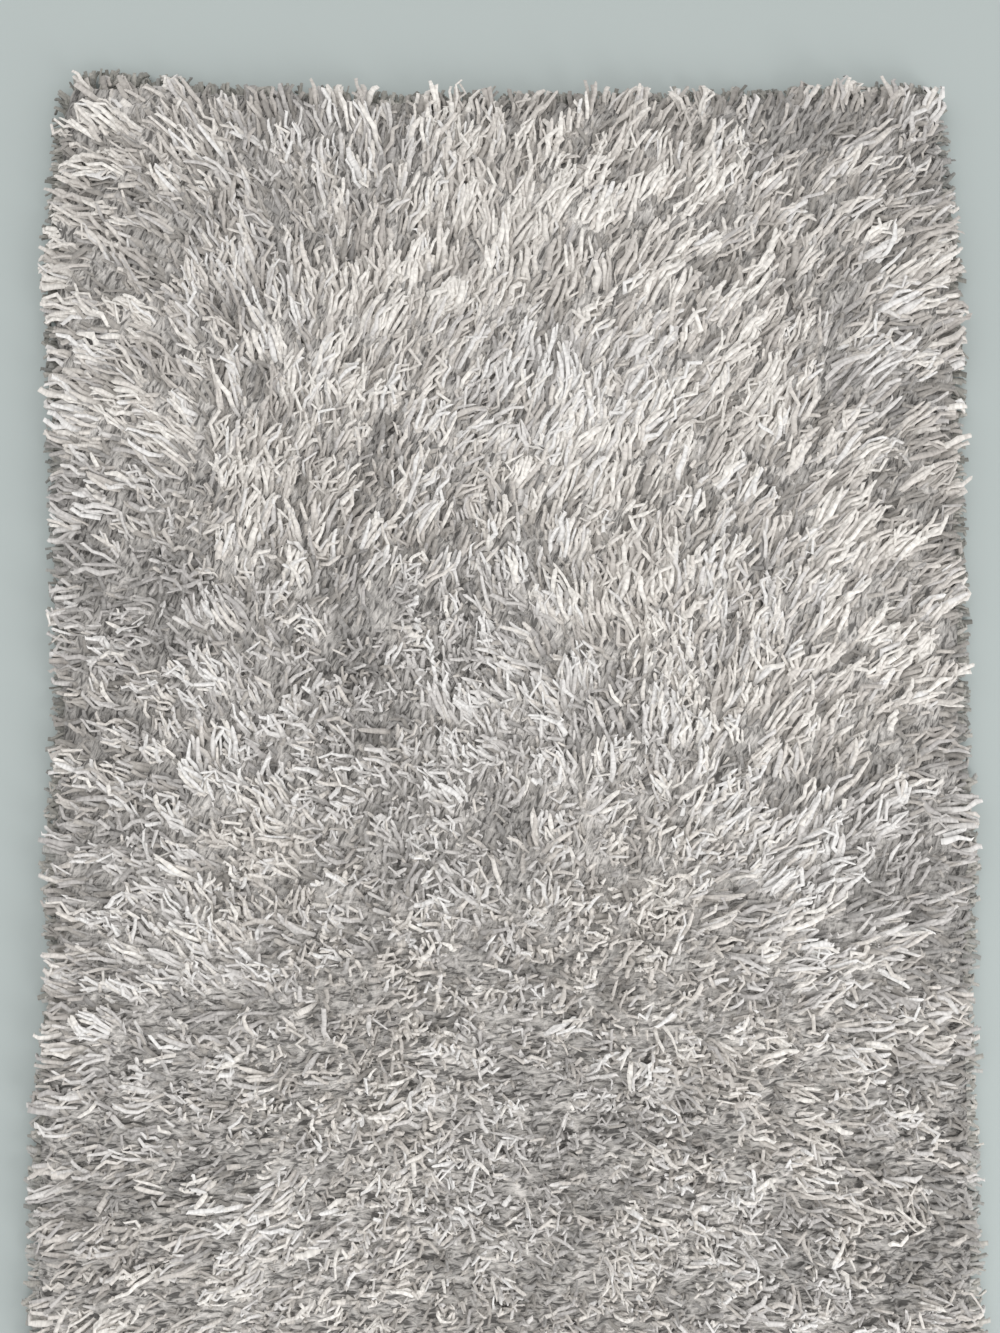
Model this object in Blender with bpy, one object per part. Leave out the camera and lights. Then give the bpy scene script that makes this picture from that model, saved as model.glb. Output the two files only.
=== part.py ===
"""A rectangular shag rug lying flat, as one solid from its backing cloth up to the tips of its pile.

Metres, +Z up. X runs across the rug and Y along it. The origin lies on the surface that the rug
rests on, under the middle of its box.
"""

from collections import namedtuple
from math import copysign, cos, hypot, pi, radians, sin, sqrt

import bmesh
import bpy

# Overall size, from pile tip to pile tip.
LENGTH = 1.400
WIDTH = 0.700
THICKNESS = 0.030

# The backing cloth that the pile stands on.
BACKING_THICKNESS = 0.003
BACKING_INSET = 0.010  # how far its edge lies inside the pile tips

# The rim, where the outer pile leans out past the backing and rounds over.
BELLY_HEIGHT = 0.011  # the height at which the rug is widest
RIM_RUN = 0.026  # how far in from the outline the rim reaches its full height; also the corner radius
EDGE_SWELL = 0.006  # the most that an edge stands out from its straight line
EDGE_DEPTH = 0.080  # how far in from the outline such a swell is felt
TOP_SWELL = 0.003  # the most that the pile rises above its usual height

# How finely the solid is divided.
CELL = 0.026
UPPER_RIM_STEPS = 6
LOWER_RIM_STEPS = 3

PILE_COLOUR = (0.42, 0.39, 0.36, 1.0)
PILE_ROUGHNESS = 0.92

# Where an edge swells out or draws in: the place of the swell's middle along the edge, how far it
# reaches to either side of that, and how far out it goes.
EdgeSwell = namedtuple("EdgeSwell", "edge along reach outward")
EDGE_SWELLS = (
    EdgeSwell("left", 0.53, 0.13, 0.006),
    EdgeSwell("left", 0.30, 0.12, -0.006),
    EdgeSwell("left", -0.02, 0.14, 0.002),
    EdgeSwell("left", -0.40, 0.20, 0.003),
    EdgeSwell("right", 0.60, 0.08, 0.006),
    EdgeSwell("right", 0.34, 0.16, 0.004),
    EdgeSwell("right", 0.08, 0.12, -0.002),
    EdgeSwell("right", -0.45, 0.18, 0.003),
    EdgeSwell("far", -0.30, 0.07, 0.006),
    EdgeSwell("far", -0.17, 0.06, -0.004),
    EdgeSwell("far", 0.05, 0.14, -0.006),
    EdgeSwell("far", 0.27, 0.11, 0.005),
    EdgeSwell("near", 0.10, 0.22, 0.006),
    EdgeSwell("near", -0.20, 0.12, -0.003),
)

# Where the pile stands higher, or is trodden and combed lower, than its usual height.
TopSwell = namedtuple("TopSwell", "x y reach_x reach_y rise")
TOP_SWELLS = (
    TopSwell(-0.20, 0.63, 0.10, 0.07, 0.002),
    TopSwell(0.05, 0.55, 0.17, 0.12, -0.003),
    TopSwell(-0.11, 0.36, 0.07, 0.11, 0.002),
    TopSwell(0.06, 0.40, 0.15, 0.10, -0.002),
    TopSwell(-0.27, 0.30, 0.08, 0.14, 0.002),
    TopSwell(0.27, 0.24, 0.12, 0.14, -0.003),
    TopSwell(-0.11, 0.12, 0.09, 0.16, 0.003),
    TopSwell(0.08, 0.02, 0.14, 0.07, 0.002),
    TopSwell(-0.22, -0.06, 0.12, 0.09, -0.002),
    TopSwell(0.16, -0.14, 0.16, 0.09, 0.002),
    TopSwell(-0.15, -0.23, 0.15, 0.08, -0.003),
    TopSwell(0.12, -0.42, 0.16, 0.14, -0.002),
    TopSwell(-0.12, -0.52, 0.14, 0.12, 0.002),
)

# The straight lines that the edges wander from, and the centres of the corner rounds.
HALF_X = WIDTH / 2 - EDGE_SWELL
HALF_Y = LENGTH / 2 - EDGE_SWELL
CORNER_X = HALF_X - RIM_RUN
CORNER_Y = HALF_Y - RIM_RUN


def clear_scene():
    for obj in list(bpy.data.objects):
        bpy.data.objects.remove(obj, do_unlink=True)


def bell(t):
    """1 where t is 0, falling smoothly to 0 where t is -1 or 1."""
    return 0.5 + 0.5 * cos(pi * t) if abs(t) < 1 else 0.0


def edge_swell(edge, along):
    return sum(s.outward * bell((along - s.along) / s.reach) for s in EDGE_SWELLS if s.edge == edge)


def top_swell(x, y):
    return sum(s.rise * bell((x - s.x) / s.reach_x) * bell((y - s.y) / s.reach_y) for s in TOP_SWELLS)


def grid_lines(half, corner):
    """Places of the grid's lines across one side: close together over the rim, even in between."""
    rim = [RIM_RUN * (1 - cos(radians(90) * step / UPPER_RIM_STEPS)) for step in range(UPPER_RIM_STEPS)]
    cells = round(2 * corner / CELL)
    middle = [-corner + 2 * corner * cell / cells for cell in range(cells + 1)]
    return [inset - half for inset in rim] + middle + [half - inset for inset in reversed(rim)]


def rim_offsets(x, y):
    """How far a point lies beyond the centre lines of the corner rounds, along each axis."""
    return max(abs(x) - CORNER_X, 0.0), max(abs(y) - CORNER_Y, 0.0)


def round_corner(x, y):
    """Draws a point in a square corner of the grid in to the corner round, along its ray."""
    dx, dy = rim_offsets(x, y)
    if not (dx and dy):
        return x, y
    shrink = max(dx, dy) / hypot(dx, dy)
    return copysign(CORNER_X + dx * shrink, x), copysign(CORNER_Y + dy * shrink, y)


def wander(x, y):
    """Moves a point by the swells of the edges near it."""
    side = edge_swell("right" if x > 0 else "left", y)
    end = edge_swell("far" if y > 0 else "near", x)
    near_side = bell(min(HALF_X - abs(x), EDGE_DEPTH) / EDGE_DEPTH)
    near_end = bell(min(HALF_Y - abs(y), EDGE_DEPTH) / EDGE_DEPTH)
    return x + copysign(side * near_side, x), y + copysign(end * near_end, y)


def draw_in(x, y, inset):
    """The place of an outline point when the outline is drawn in by the inset."""
    dx, dy = rim_offsets(x, y)
    keep = 1 - inset / RIM_RUN
    inner_x = copysign(CORNER_X + dx * keep, x) if dx else x
    inner_y = copysign(CORNER_Y + dy * keep, y) if dy else y
    return inner_x, inner_y


def top_height(x, y):
    """Height of the pile over a grid point: a quarter ellipse over the rim, then the uneven top."""
    outward = min(max(rim_offsets(x, y)) / RIM_RUN, 1.0)
    rise = sqrt(1 - outward**2)
    full_height = THICKNESS - TOP_SWELL - BELLY_HEIGHT + top_swell(x, y)
    return BELLY_HEIGHT + rise * full_height


def lower_rim():
    """Inset and height of each ring from the belly down to the rug's underside."""
    turns = [radians(90) * step / LOWER_RIM_STEPS for step in range(1, LOWER_RIM_STEPS + 1)]
    drop = BELLY_HEIGHT - BACKING_THICKNESS
    rings = [(BACKING_INSET * (1 - cos(turn)), BELLY_HEIGHT - drop * sin(turn)) for turn in turns]
    return rings + [(BACKING_INSET, 0.0)]


def add_top(bm, place):
    """The pile's upper surface. The place layer keeps each vertex's spot on the square grid."""
    lines_x = grid_lines(HALF_X, CORNER_X)
    lines_y = grid_lines(HALF_Y, CORNER_Y)
    cells_x = len(lines_x) - 1
    cells_y = len(lines_y) - 1
    bmesh.ops.create_grid(bm, x_segments=cells_x, y_segments=cells_y, size=1.0)
    for vert in bm.verts:
        x = lines_x[round((vert.co.x + 1) / 2 * cells_x)]
        y = lines_y[round((vert.co.y + 1) / 2 * cells_y)]
        vert[place] = (x, y, 0.0)
        vert.co = (*wander(*round_corner(x, y)), top_height(x, y))


def add_lower_rim(bm, place):
    """Extrudes the outline down and in, ring by ring, and closes the flat underside."""
    for inset, height in lower_rim():
        edges = [edge for edge in bm.edges if edge.is_boundary]
        extruded = bmesh.ops.extrude_edge_only(bm, edges=edges)["geom"]
        for vert in [item for item in extruded if isinstance(item, bmesh.types.BMVert)]:
            x, y, _ = vert[place]
            vert.co = (*wander(*round_corner(*draw_in(x, y, inset))), height)
    bmesh.ops.holes_fill(bm, edges=[edge for edge in bm.edges if edge.is_boundary], sides=0)


def pile_material():
    material = bpy.data.materials.new("pile_yarn")
    material.use_nodes = True
    shader = material.node_tree.nodes["Principled BSDF"]
    shader.inputs["Base Color"].default_value = PILE_COLOUR
    shader.inputs["Roughness"].default_value = PILE_ROUGHNESS
    material.diffuse_color = PILE_COLOUR
    return material


def add_rug():
    bm = bmesh.new()
    place = bm.verts.layers.float_vector.new("place")
    add_top(bm, place)
    add_lower_rim(bm, place)
    bm.verts.layers.float_vector.remove(place)
    bmesh.ops.recalc_face_normals(bm, faces=bm.faces)
    mesh = bpy.data.meshes.new("shag_rug")
    bm.to_mesh(mesh)
    bm.free()
    mesh.shade_smooth()
    mesh.set_sharp_from_angle(angle=radians(50))
    mesh.materials.append(pile_material())
    bpy.context.scene.collection.objects.link(bpy.data.objects.new("shag_rug", mesh))


clear_scene()
add_rug()
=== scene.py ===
from math import radians, sin, cos, pi

import bpy
import numpy as np
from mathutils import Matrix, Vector
from mathutils.bvhtree import BVHTree
from mathutils.kdtree import KDTree


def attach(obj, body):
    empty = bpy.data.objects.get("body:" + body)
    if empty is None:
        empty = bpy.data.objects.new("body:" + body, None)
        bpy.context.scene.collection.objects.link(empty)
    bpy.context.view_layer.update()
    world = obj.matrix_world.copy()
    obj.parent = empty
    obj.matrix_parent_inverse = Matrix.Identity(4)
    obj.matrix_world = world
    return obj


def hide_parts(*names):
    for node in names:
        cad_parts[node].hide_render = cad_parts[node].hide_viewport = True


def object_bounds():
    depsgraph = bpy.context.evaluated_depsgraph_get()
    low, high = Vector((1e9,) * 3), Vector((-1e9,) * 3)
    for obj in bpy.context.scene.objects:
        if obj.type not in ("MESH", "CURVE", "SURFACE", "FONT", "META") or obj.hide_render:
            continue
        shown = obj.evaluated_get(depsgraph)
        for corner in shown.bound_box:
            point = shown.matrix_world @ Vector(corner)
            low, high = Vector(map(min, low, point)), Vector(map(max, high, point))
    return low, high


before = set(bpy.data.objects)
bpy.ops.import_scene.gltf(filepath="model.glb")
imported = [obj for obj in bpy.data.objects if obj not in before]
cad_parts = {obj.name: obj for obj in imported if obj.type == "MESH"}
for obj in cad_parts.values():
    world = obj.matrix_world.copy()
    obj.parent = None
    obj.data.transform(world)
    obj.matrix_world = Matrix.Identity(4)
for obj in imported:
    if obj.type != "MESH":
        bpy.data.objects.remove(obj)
cadLow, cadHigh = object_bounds()
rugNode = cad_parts["shag_rug"]
print("frame loaded, the rug is", [round(high - low, 3) for low, high in zip(cadLow, cadHigh)], "m")

pile = {
    "cornerRadius": 0.026,
    "tuftPitch": 0.0090,       # between stitches, both ways
    "tuftJitter": 0.0020,
    "tuftStray": 0.15,         # how far tufts go their own way
    "spareLean": 0.12,         # and how much flatter than their zone that may lay them
    "spareVaries": 0.6,
    "leastLean": 0.1, "mostLean": 1,
    # how many strands a tuft has where it lies flat, and where it stands
    "greigeFlat": 2.5, "greigeUp": 1.9,
    "bunchFlat": 3.4, "bunchUp": 1.8,      # these are the cream threads of a bunch
    "bunchShare": 0.56,        # share of the tufts that have such a bunch
    "bunchGain": 0.15,         # how much that share grows in a bright patch
    "shadeGain": 0.16,         # how much lighter the strands are for a gain of 1
    "tuftGain": 1.6, "lockGain": 1.8,      # how far tufts, and locks of tufts, differ in gain
    "patchStrength": 1.2,
    "standingGain": 0.5, "standingAt": 0.6,    # more gain where the pile stands up: painted light against its deeper shade, and more cream threads
    # painted shade: tufts near the outline get less gain, so darker strands and fewer cream threads
    # there
    "darkRim": 1.0, "darkRimWidth": 0.024,
    "lockPitch": 0.018,        # between locks, which are tufts whose tips draw together
    "edgeLean": 0.75,          # how much more the tufts at the outline lean out
    "rootTilt": (4, 54),       # degrees from upright, and how much more where the pile lies flat
    "tipTilt": (30, 66),
    "undersideZ": 0.0005,      # stitches need the flat underside, which lies below this
    "bulgeShare": 0.8, "bulgeRun": 0.04,   # how far the outer stitches follow the bulges
    "seed": 426,
}

# how far the pile stands out from a straight edge, at places along that edge
edgeReach = {
    "left": [(-0.60, 0.005), (-0.45, 0.002), (-0.30, 0.005), (-0.16, 0.009), (-0.08, 0.007),
             (0.01, -0.004), (0.10, 0.003), (0.19, -0.003), (0.28, -0.001), (0.375, 0.004),
             (0.47, 0.007), (0.56, 0.014), (0.66, 0.007)],
    "right": [(-0.60, -0.001), (-0.45, 0.001), (-0.30, 0.001), (-0.16, 0.002), (-0.08, 0.001),
              (0.01, 0.0), (0.10, 0.006), (0.19, 0.001), (0.28, 0.002), (0.375, 0.001),
              (0.47, 0.003), (0.56, 0.002), (0.66, -0.006)],
    "far": [(-0.31, 0.018), (-0.23, 0.007), (-0.15, 0.003), (-0.07, -0.002), (0.01, 0.0),
            (0.09, -0.001), (0.17, 0.002), (0.25, 0.005), (0.33, 0.007)],
    "near": [(-0.30, 0.003), (-0.20, -0.003), (-0.10, 0.001), (0.10, 0.004), (0.20, 0.0),
             (0.30, 0.002)],
}

# the way the tips point (in degrees: 0 is +X, 90 is +Y)
# and how flat the pile lies (0 stands up, 1 lies down)
napReach = 0.045
napZones = [
    # x, y, heading, lean
    (-0.33, 0.67, 150, 0.65),
    (-0.27, 0.60, 145, 0.75),
    (-0.33, 0.48, 162, 0.75),
    (-0.26, 0.43, 168, 0.85),
    (-0.33, 0.36, 145, 0.50),
    (-0.27, 0.30, 170, 0.30),
    (-0.33, 0.20, 165, 0.40),
    (-0.27, 0.12, 155, 0.45),
    (-0.33, 0.02, 160, 0.55),
    (-0.26, -0.02, 148, 0.50),
    (-0.20, 0.67, 128, 0.60),
    (-0.20, 0.56, 116, 0.60),
    (-0.19, 0.48, 120, 0.75),
    (-0.19, 0.40, 78, 0.90),
    (-0.19, 0.34, 62, 0.75),
    (-0.20, 0.26, 120, 0.60),
    (-0.20, 0.16, 112, 0.65),
    (-0.20, 0.06, 116, 0.65),
    (-0.14, 0.67, 110, 0.60),
    (-0.14, 0.58, 88, 0.65),
    (-0.14, 0.49, 75, 0.85),
    (-0.13, 0.42, 46, 0.90),
    (-0.13, 0.34, 64, 0.45),
    (-0.12, 0.27, 45, 0.20),
    (-0.12, 0.17, 148, 0.25),
    (-0.13, 0.08, 150, 0.30),
    (-0.06, 0.67, 86, 0.60),
    (-0.05, 0.60, 82, 0.75),
    (-0.05, 0.52, 62, 0.85),
    (-0.05, 0.44, 66, 0.75),
    (-0.05, 0.36, 68, 0.55),
    (-0.03, 0.27, 112, 0.55),
    (-0.02, 0.18, 120, 0.70),
    (-0.03, 0.09, 105, 0.20),
    (0.04, 0.67, 66, 0.60),
    (0.05, 0.58, 62, 0.90),
    (0.05, 0.48, 59, 0.90),
    (0.05, 0.39, 64, 0.85),
    (0.06, 0.27, 106, 0.70),
    (0.06, 0.18, 112, 0.60),
    (0.06, 0.08, 55, 0.30),
    (0.13, 0.67, 63, 0.60),
    (0.14, 0.57, 57, 0.80),
    (0.14, 0.46, 57, 0.90),
    (0.14, 0.36, 58, 0.80),
    (0.14, 0.27, 94, 0.70),
    (0.15, 0.17, 86, 0.65),
    (0.14, 0.06, 48, 0.45),
    (0.23, 0.67, 55, 0.60),
    (0.22, 0.56, 52, 0.75),
    (0.22, 0.44, 50, 0.80),
    (0.22, 0.32, 50, 0.80),
    (0.23, 0.20, 55, 0.70),
    (0.22, 0.07, 52, 0.70),
    (0.33, 0.67, 44, 0.60),
    (0.33, 0.55, 20, 0.70),
    (0.33, 0.42, 14, 0.75),
    (0.33, 0.30, 36, 0.75),
    (0.33, 0.18, 18, 0.60),
    (0.33, 0.05, 6, 0.55),
    (0.10, -0.01, 26, 0.25),
    (0.24, -0.01, 35, 0.45),
    (-0.08, -0.01, 28, 0.20),
    (-0.25, -0.09, 178, 0.35),
    (-0.10, -0.08, 190, 0.10),
    (0.08, -0.08, 14, 0.15),
    (0.24, -0.08, 5, 0.30),
    (-0.24, -0.18, 192, 0.45),
    (-0.10, -0.18, 195, 0.30),
    (0.02, -0.17, 8, 0.15),
    (0.12, -0.18, 16, 0.15),
    (0.27, -0.18, 12, 0.30),
    (-0.24, -0.32, 186, 0.40),
    (-0.10, -0.30, 180, 0.20),
    (0.10, -0.32, 8, 0.20),
    (0.24, -0.32, 10, 0.40),
    (-0.25, -0.48, 196, 0.45),
    (-0.10, -0.48, 215, 0.25),
    (0.10, -0.48, -30, 0.25),
    (0.25, -0.48, -12, 0.45),
    (-0.27, -0.64, 215, 0.50),
    (-0.10, -0.64, 250, 0.50),
    (0.10, -0.64, 285, 0.50),
    (0.27, -0.64, -35, 0.50),
]

# places where tufts fall to either side along one line, instead of all the same way
mixedZones = [
    # x, y, reachX, reachY, heading, stray, comb (how much closer to that line they lie)
    (-0.18, -0.16, 0.22, 0.10, 14, 0.50, 0.4),
    (0.18, -0.16, 0.22, 0.10, 4, 0.50, 0.6),
    (0.00, -0.34, 0.40, 0.12, 8, 0.50, 0.6),
    (0.00, -0.56, 0.40, 0.14, 4, 0.40, 0.5),
    (0.02, 0.00, 0.16, 0.06, 30, 0.40, 0.2),
    (-0.12, 0.20, 0.06, 0.14, 155, 0.35, 0.0),
    (-0.29, 0.22, 0.06, 0.12, 170, 0.35, 0.0),
    (-0.28, 0.00, 0.08, 0.10, 168, 0.30, 0.2),
    (-0.03, 0.11, 0.06, 0.05, 142, 0.45, 0.0),
]

# how far the nap turns, and how the light changes, from spot to spot
napMottling = [
    # size of a spot, amount, seed
    (0.050, 0.16, 11),
    (0.024, 0.20, 13),
]
lightMottling = [
    # size of a spot, gain, seed
    (0.050, 0.3, 1),
    (0.022, 1.5, 2),
    (0.012, 1.6, 3),
]

# patches that look brighter or darker: partly more or fewer cream threads on top, partly painted light
# and shade in the strands' colour
lightPatches = [
    # x, y, reachX, reachY, gain
    (0.04, 0.60, 0.07, 0.03, 0.5),
    (-0.20, 0.60, 0.04, 0.04, 0.4),
    (-0.02, 0.67, 0.04, 0.02, -0.8),
    (0.04, 0.49, 0.12, 0.06, 1.2),
    (0.07, 0.40, 0.13, 0.06, 1.2),
    (-0.15, 0.44, 0.04, 0.05, 2.8),
    (-0.09, 0.55, 0.04, 0.03, -0.8),
    (-0.25, 0.43, 0.08, 0.03, 0.9),
    (-0.21, 0.32, 0.03, 0.06, 0.9),
    (0.10, 0.27, 0.10, 0.06, 1.0),
    (-0.02, 0.29, 0.05, 0.03, 0.6),
    (0.03, 0.23, 0.05, 0.04, 0.8),
    (0.30, 0.24, 0.05, 0.03, 0.8),
    (0.06, 0.18, 0.12, 0.04, 0.8),
    (0.13, 0.20, 0.03, 0.03, 0.8),
    (-0.01, 0.20, 0.04, 0.03, 0.9),
    (-0.19, 0.15, 0.05, 0.08, 0.9),
    (0.10, 0.12, 0.07, 0.04, 1.4),
    (-0.06, 0.12, 0.05, 0.03, 0.6),
    (0.19, 0.06, 0.06, 0.09, 1.0),
    (0.01, 0.06, 0.08, 0.03, 0.7),
    (-0.20, 0.02, 0.05, 0.06, 1.6),
    (-0.03, 0.00, 0.08, 0.03, 0.7),
    (-0.29, -0.02, 0.04, 0.08, 0.5),
    (-0.02, -0.06, 0.04, 0.03, 0.7),
    (-0.07, -0.12, 0.07, 0.03, 1.2),
    (-0.16, -0.19, 0.09, 0.04, 1.3),
    (0.13, -0.17, 0.06, 0.04, 0.9),
    (0.16, -0.05, 0.05, 0.03, 1.0),
    (-0.33, 0.67, 0.03, 0.03, -1.8),
    (0.00, 0.68, 0.16, 0.03, -1.4),
    (-0.14, 0.64, 0.04, 0.05, -0.5),
    (0.27, 0.67, 0.10, 0.03, -1.4),
    (0.27, 0.60, 0.06, 0.08, -1.1),
    (0.11, 0.55, 0.11, 0.03, -1.5),
    (-0.33, 0.55, 0.03, 0.05, -0.5),
    (-0.25, 0.48, 0.06, 0.03, -1.0),
    (0.345, 0.35, 0.045, 0.40, -1.4),
    (0.27, 0.36, 0.04, 0.06, -0.3),
    (-0.10, 0.39, 0.03, 0.07, -1.5),
    (-0.29, 0.32, 0.06, 0.09, -1.4),
    (-0.12, 0.25, 0.04, 0.06, -1.0),
    (-0.31, 0.18, 0.06, 0.05, -1.6),
    (0.01, 0.14, 0.02, 0.02, -0.6),
    (0.28, 0.14, 0.07, 0.07, -0.6),
    (-0.33, 0.09, 0.03, 0.05, -0.6),
    (0.30, 0.06, 0.05, 0.04, -1.1),
    (-0.13, 0.04, 0.04, 0.04, -0.6),
    (-0.21, -0.06, 0.04, 0.03, -0.7),
    (0.345, -0.20, 0.045, 0.30, -1.8),
    (-0.26, -0.14, 0.07, 0.05, -1.2),
    (0.26, -0.17, 0.07, 0.05, -1.5),
    (0.18, -0.33, 0.09, 0.05, 0.6),
    (-0.24, -0.36, 0.06, 0.05, -0.6),
    (-0.03, -0.42, 0.08, 0.04, 0.5),
    (0.24, -0.47, 0.06, 0.06, -0.7),
    (-0.20, -0.52, 0.07, 0.05, 0.7),
    (0.05, -0.56, 0.08, 0.05, -0.5),
    (0.22, -0.62, 0.06, 0.04, 0.5),
]


def softNoise(places, cell, seed):
    # smooth noise from -1 to 1: a random value at each corner of a grid, eased in between
    margin = 0.1
    low = np.array([cadLow.x, cadLow.y]) - margin
    size = np.ceil((np.array([cadHigh.x, cadHigh.y]) + margin - low) / cell).astype(int) + 2
    corners = np.random.default_rng(seed).uniform(-1, 1, size)
    at = (places - low) / cell
    whole = np.floor(at).astype(int)
    part = at - whole
    part = part * part * (3 - 2 * part)
    i, j = whole.T
    u, v = part.T
    near = corners[i, j] * (1 - u) + corners[i + 1, j] * u
    far = corners[i, j + 1] * (1 - u) + corners[i + 1, j + 1] * u
    return near * (1 - v) + far * v


def edgeLine(edge, along):
    return np.interp(along, *np.array(edgeReach[edge]).T)


def outlineAt(places):
    # how far outside the outline each place is, the way straight out, and how far the pile bulges there
    radius = pile["cornerRadius"]
    half = np.array([cadHigh.x - cadLow.x, cadHigh.y - cadLow.y]) / 2 - radius
    past = np.abs(places) - half
    beyond = np.maximum(past, 0)
    reach = np.hypot(*beyond.T)
    outside = reach + np.minimum(past.max(1), 0) - radius
    nearest = np.eye(2)[past.argmax(1)]
    corner = reach > 1e-6
    nearest[corner] = beyond[corner] / reach[corner, None]
    x, y = places.T
    side = np.where(x < 0, edgeLine("left", y), edgeLine("right", y))
    end = np.where(y < 0, edgeLine("near", x), edgeLine("far", x))
    bulge = (nearest ** 2 * np.stack([side, end], 1)).sum(1)
    return outside - bulge, nearest * np.sign(places), bulge


def zoneWeights(places):
    # how much each nap zone counts at each place
    away = places[:, None, :] - np.array(napZones)[None, :, :2]
    weight = np.exp(-(away ** 2).sum(2) / (2 * napReach ** 2)) + 1e-12
    return weight / weight.sum(1, keepdims=True)


def napAt(places):
    # blends the zones as arrows, so the pile stands up where two ways meet
    x, y, heading, lean = np.array(napZones).T
    turn = np.radians(heading)
    return zoneWeights(places) @ np.stack([np.cos(turn) * lean, np.sin(turn) * lean], 1)


def leanAt(places):
    return zoneWeights(places) @ np.array(napZones)[:, 3]


def inPatch(places, x, y, reachX, reachY):
    # 1 in the middle of a patch, and fading to 0 past its reach
    away = np.hypot((places[:, 0] - x) / reachX, (places[:, 1] - y) / reachY)
    return np.exp(-away ** 3)


def mixedAt(places):
    # a random arrow along the line of each mixed zone
    arrow = np.zeros_like(places)
    for x, y, reachX, reachY, heading, stray, comb in mixedZones:
        amount = stray * inPatch(places, x, y, reachX, reachY) * draw.normal(0, 1, len(places))
        arrow += amount[:, None] * (cos(radians(heading)), sin(radians(heading)))
    return arrow


def combed(arrow, places):
    # brings arrows closer to the line of each mixed zone
    for x, y, reachX, reachY, heading, stray, comb in mixedZones:
        across = np.array([-sin(radians(heading)), cos(radians(heading))])
        amount = comb * inPatch(places, x, y, reachX, reachY) * (arrow @ across)
        arrow = arrow - amount[:, None] * across
    return arrow


def lightAt(places):
    # the bright and dark patches, partly painted light and shade, with soft mottling at three sizes
    gain = np.zeros(len(places))
    for cell, amount, seed in lightMottling:
        gain += amount * softNoise(places, cell, seed)
    for x, y, reachX, reachY, amount in lightPatches:
        gain += pile["patchStrength"] * amount * inPatch(places, x, y, reachX, reachY)
    return gain


def staggered(pitch, jitter):
    # rows of places over the whole rug, every other row shifted by half a step
    margin = 0.01
    rowX = np.arange(cadLow.x - margin, cadHigh.x + margin, pitch)
    rowY = np.arange(cadLow.y - margin, cadHigh.y + margin, pitch)
    x, y = np.meshgrid(rowX, rowY)
    x += (np.arange(len(rowY)) % 2)[:, None] * pitch / 2
    places = np.stack([x.ravel(), y.ravel()], 1)
    return places + draw.uniform(-1, 1, places.shape) * jitter


def placeTufts():
    # the stitches that lie on the rug's flat underside, each with the height of the pile above it
    mesh = rugNode.data
    corners = [vertex.co for vertex in mesh.vertices]
    tree = BVHTree.FromPolygons(corners, [tuple(face.vertices) for face in mesh.polygons])
    kept, tops = [], []
    for x, y in staggered(pile["tuftPitch"], pile["tuftJitter"]):
        under = tree.ray_cast(Vector((x, y, -1)), Vector((0, 0, 1)))[0]
        if under is not None and under.z < pile["undersideZ"]:
            kept.append((x, y))
            tops.append(tree.ray_cast(Vector((x, y, 1)), Vector((0, 0, -1)))[0].z)
    kept = np.array(kept)
    outside, outward, bulge = outlineAt(kept)
    outer = (1 + (outside + bulge) / pile["bulgeRun"]).clip(0, 1)
    kept += outward * (pile["bulgeShare"] * bulge * outer)[:, None]
    return kept, np.array(tops)


def nearestLock(places, locks):
    # the number of the lock that each place belongs to
    tree = KDTree(len(locks))
    for number, (x, y) in enumerate(locks):
        tree.insert((x, y, 0), number)
    tree.balance()
    return np.array([tree.find((x, y, 0))[1] for x, y in places])


draw = np.random.default_rng(pile["seed"])
tufts, pileTops = placeTufts()
nap = napAt(tufts) + mixedAt(tufts) + pile["tuftStray"] * draw.normal(0, 1, tufts.shape)
for cell, amount, seed in napMottling:
    nap += amount * np.stack([softNoise(tufts, cell, seed), softNoise(tufts, cell, seed + 1)], 1)
nap = combed(nap, tufts)
spare = pile["spareLean"] * (1 + pile["spareVaries"] * draw.normal(0, 1, len(tufts)))
mostLean = (leanAt(tufts) + spare).clip(pile["leastLean"], pile["mostLean"])
nap *= np.minimum(1, mostLean / np.hypot(*nap.T))[:, None]
flatness = np.hypot(*nap.T)
locks = staggered(pile["lockPitch"], pile["lockPitch"] / 2)
lockOf = nearestLock(tufts, locks)
# the gain holds painted light and shade (the patches, the standing pile, the rim) besides tone that
# differs at random
light = lightAt(tufts) + pile["standingGain"] * (pile["standingAt"] - flatness)
light += pile["lockGain"] * draw.normal(0, 1, len(locks))[lockOf]
light += pile["tuftGain"] * draw.normal(0, 1, len(tufts))
# painted shade along the outline
light -= pile["darkRim"] * (1 + outlineAt(tufts)[0] / pile["darkRimWidth"]).clip(0, 1)
print(len(tufts), "tufts placed in", len(np.unique(lockOf)), "locks")

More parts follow.
